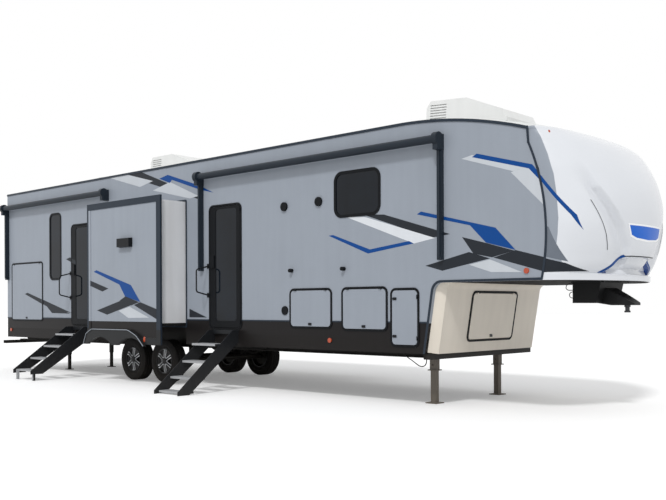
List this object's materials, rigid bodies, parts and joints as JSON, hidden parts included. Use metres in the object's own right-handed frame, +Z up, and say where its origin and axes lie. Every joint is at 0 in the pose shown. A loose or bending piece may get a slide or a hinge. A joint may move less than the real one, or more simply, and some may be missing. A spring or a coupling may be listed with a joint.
{
  "type": "fifth wheel travel trailer",
  "caption": "Fifth wheel travel trailer with a moulded front cap, raised deck, hinged entry doors and hatches, slide-out rooms and free-turning wheels.",
  "frame": {"origin": "on the king pin's axis at the face that rests on the hitch plate; the ground is 1.230 m below it", "axes": "+X forward, +Y to the side without entry doors, +Z up"},
  "size_m": [12.9681, 4.488, 3.9282],
  "materials": {
    "air_plastic": "white moulded shroud",
    "black_trim": "moulded black plastic",
    "bulkhead_gelcoat": "off-white gelcoat",
    "cable_jacket": "black cable jacket",
    "cap_gelcoat": "white gelcoat with blue and grey stripes",
    "chassis_paint": "satin black chassis paint",
    "deck_board": "sealed deck board",
    "floor_board": "laminated floor board",
    "glass": "dark tinted glass",
    "lamp_lens": "amber and red lenses",
    "pin_steel": "machined steel",
    "rim": "machined face, black pockets",
    "roof_membrane": "white roof membrane",
    "skirt_metal": "dark brown-black skirt metal",
    "slate_trim": "slate painted aluminium extrusion",
    "slide_skin": "white side panels",
    "spring_steel": "black spring steel",
    "steel_tube": "plated steel tube",
    "step_metal": "black plates, bare aluminium treads",
    "tyre": "black tyre",
    "wall_skin": "gelcoat laminate, grey with dark lower band and stripes"
  },
  "bodies": {
    "trailer": {"air_conditioners": "air_plastic", "awning_front": "slate_trim", "awning_rear": "slate_trim", "axles": "chassis_paint", "cross_members": "chassis_paint", "edge_trims": "slate_trim", "entry_steps_front": "step_metal", "entry_steps_rear": "step_metal", "frame_rails": "chassis_paint", "front_bulkhead": "bulkhead_gelcoat", "front_cap": "cap_gelcoat", "grab_handles": "black_trim", "hitch_cable_high": "cable_jacket", "hitch_cable_low": "cable_jacket", "king_pin": "pin_steel", "landing_legs": "steel_tube", "leaf_springs": "spring_steel", "leg_cable": "cable_jacket", "main_floor": "floor_board", "marker_lamps": "lamp_lens", "opening_rings": "black_trim", "outriggers": "chassis_paint", "pin_box": "chassis_paint", "rear_bumper": "chassis_paint", "roof": "roof_membrane", "roof_vents": "air_plastic", "skirts": "skirt_metal", "slide_bars": "chassis_paint", "stabilizer_jacks": "chassis_paint", "upper_deck": "deck_board", "wall_fittings": "black_trim", "wall_left": "wall_skin", "wall_rear": "wall_skin", "wall_right": "wall_skin", "window_frames": "black_trim", "window_glass": "glass"},
    "wheel_front_right": {"tyre_front_right": "tyre", "rim_front_right": "rim"},
    "wheel_front_left": {"tyre_front_left": "tyre", "rim_front_left": "rim"},
    "wheel_rear_right": {"tyre_rear_right": "tyre", "rim_rear_right": "rim"},
    "wheel_rear_left": {"tyre_rear_left": "tyre", "rim_rear_left": "rim"},
    "door_front": {"entry_door_front": "black_trim", "door_glass_front": "glass"},
    "door_rear": {"entry_door_rear": "black_trim", "door_glass_rear": "glass"},
    "hatch_kitchen": {"hatch_kitchen": "wall_skin"},
    "hatch_storage_right": {"hatch_storage_right": "wall_skin"},
    "hatch_service_right": {"hatch_service_right": "wall_skin"},
    "hatch_gas_right": {"hatch_gas_right": "wall_skin"},
    "hatch_storage_left": {"hatch_storage_left": "wall_skin"},
    "hatch_gas_left": {"hatch_gas_left": "wall_skin"},
    "hatch_front": {"hatch_front": "bulkhead_gelcoat"},
    "slide_right": {"slide_right_room": "slide_skin", "slide_right_face": "wall_skin"},
    "slide_left": {"slide_left_room": "slide_skin", "slide_left_face": "wall_skin"}
  },
  "joints": [
    {"name": "wheel_front_right_spin", "type": "hinge", "parent": "trailer", "child": "wheel_front_right", "pos_m": [-7.34, -1.0375, -0.88], "axis": [0, 1, 0], "continuous": true},
    {"name": "wheel_front_left_spin", "type": "hinge", "parent": "trailer", "child": "wheel_front_left", "pos_m": [-7.34, 1.0375, -0.88], "axis": [0, 1, 0], "continuous": true},
    {"name": "wheel_rear_right_spin", "type": "hinge", "parent": "trailer", "child": "wheel_rear_right", "pos_m": [-8.21, -1.0375, -0.88], "axis": [0, 1, 0], "continuous": true},
    {"name": "wheel_rear_left_spin", "type": "hinge", "parent": "trailer", "child": "wheel_rear_left", "pos_m": [-8.21, 1.0375, -0.88], "axis": [0, 1, 0], "continuous": true},
    {"name": "door_front_hinge", "type": "hinge", "parent": "trailer", "child": "door_front", "pos_m": [-5.354, -1.237, 0.6], "axis": [0, 0, 1], "range_deg": [0, 160]},
    {"name": "door_rear_hinge", "type": "hinge", "parent": "trailer", "child": "door_rear", "pos_m": [-9.284, -1.237, 0.6], "axis": [0, 0, 1], "range_deg": [0, 110]},
    {"name": "hatch_kitchen_hinge", "type": "hinge", "parent": "trailer", "child": "hatch_kitchen", "pos_m": [-11.617, -1.237, 0.846], "axis": [-1, 0, 0], "range_deg": [0, 95]},
    {"name": "hatch_storage_right_hinge", "type": "hinge", "parent": "trailer", "child": "hatch_storage_right", "pos_m": [-3.9275, -1.237, 0.218], "axis": [-1, 0, 0], "range_deg": [0, 160]},
    {"name": "hatch_service_right_hinge", "type": "hinge", "parent": "trailer", "child": "hatch_service_right", "pos_m": [-2.9665, -1.237, 0.221], "axis": [-1, 0, 0], "range_deg": [0, 160]},
    {"name": "hatch_gas_right_hinge", "type": "hinge", "parent": "trailer", "child": "hatch_gas_right", "pos_m": [-2.109, -1.237, -0.1425], "axis": [0, 0, 1], "range_deg": [0, 160]},
    {"name": "hatch_storage_left_hinge", "type": "hinge", "parent": "trailer", "child": "hatch_storage_left", "pos_m": [-3.2, 1.237, 0.221], "axis": [1, 0, 0], "range_deg": [0, 160]},
    {"name": "hatch_gas_left_hinge", "type": "hinge", "parent": "trailer", "child": "hatch_gas_left", "pos_m": [-2.109, 1.237, -0.1425], "axis": [0, 0, -1], "range_deg": [0, 160]},
    {"name": "hatch_front_hinge", "type": "hinge", "parent": "trailer", "child": "hatch_front", "pos_m": [-1.74909, 0, 0.15794], "axis": [0, -1, 0], "range_deg": [0, 85]},
    {"name": "slide_right_travel", "type": "slide", "parent": "trailer", "child": "slide_right", "axis": [0, 1, 0], "range_m": [0, 0.475]},
    {"name": "slide_left_travel", "type": "slide", "parent": "trailer", "child": "slide_left", "axis": [0, -1, 0], "range_m": [0, 0.82]}
  ]
}
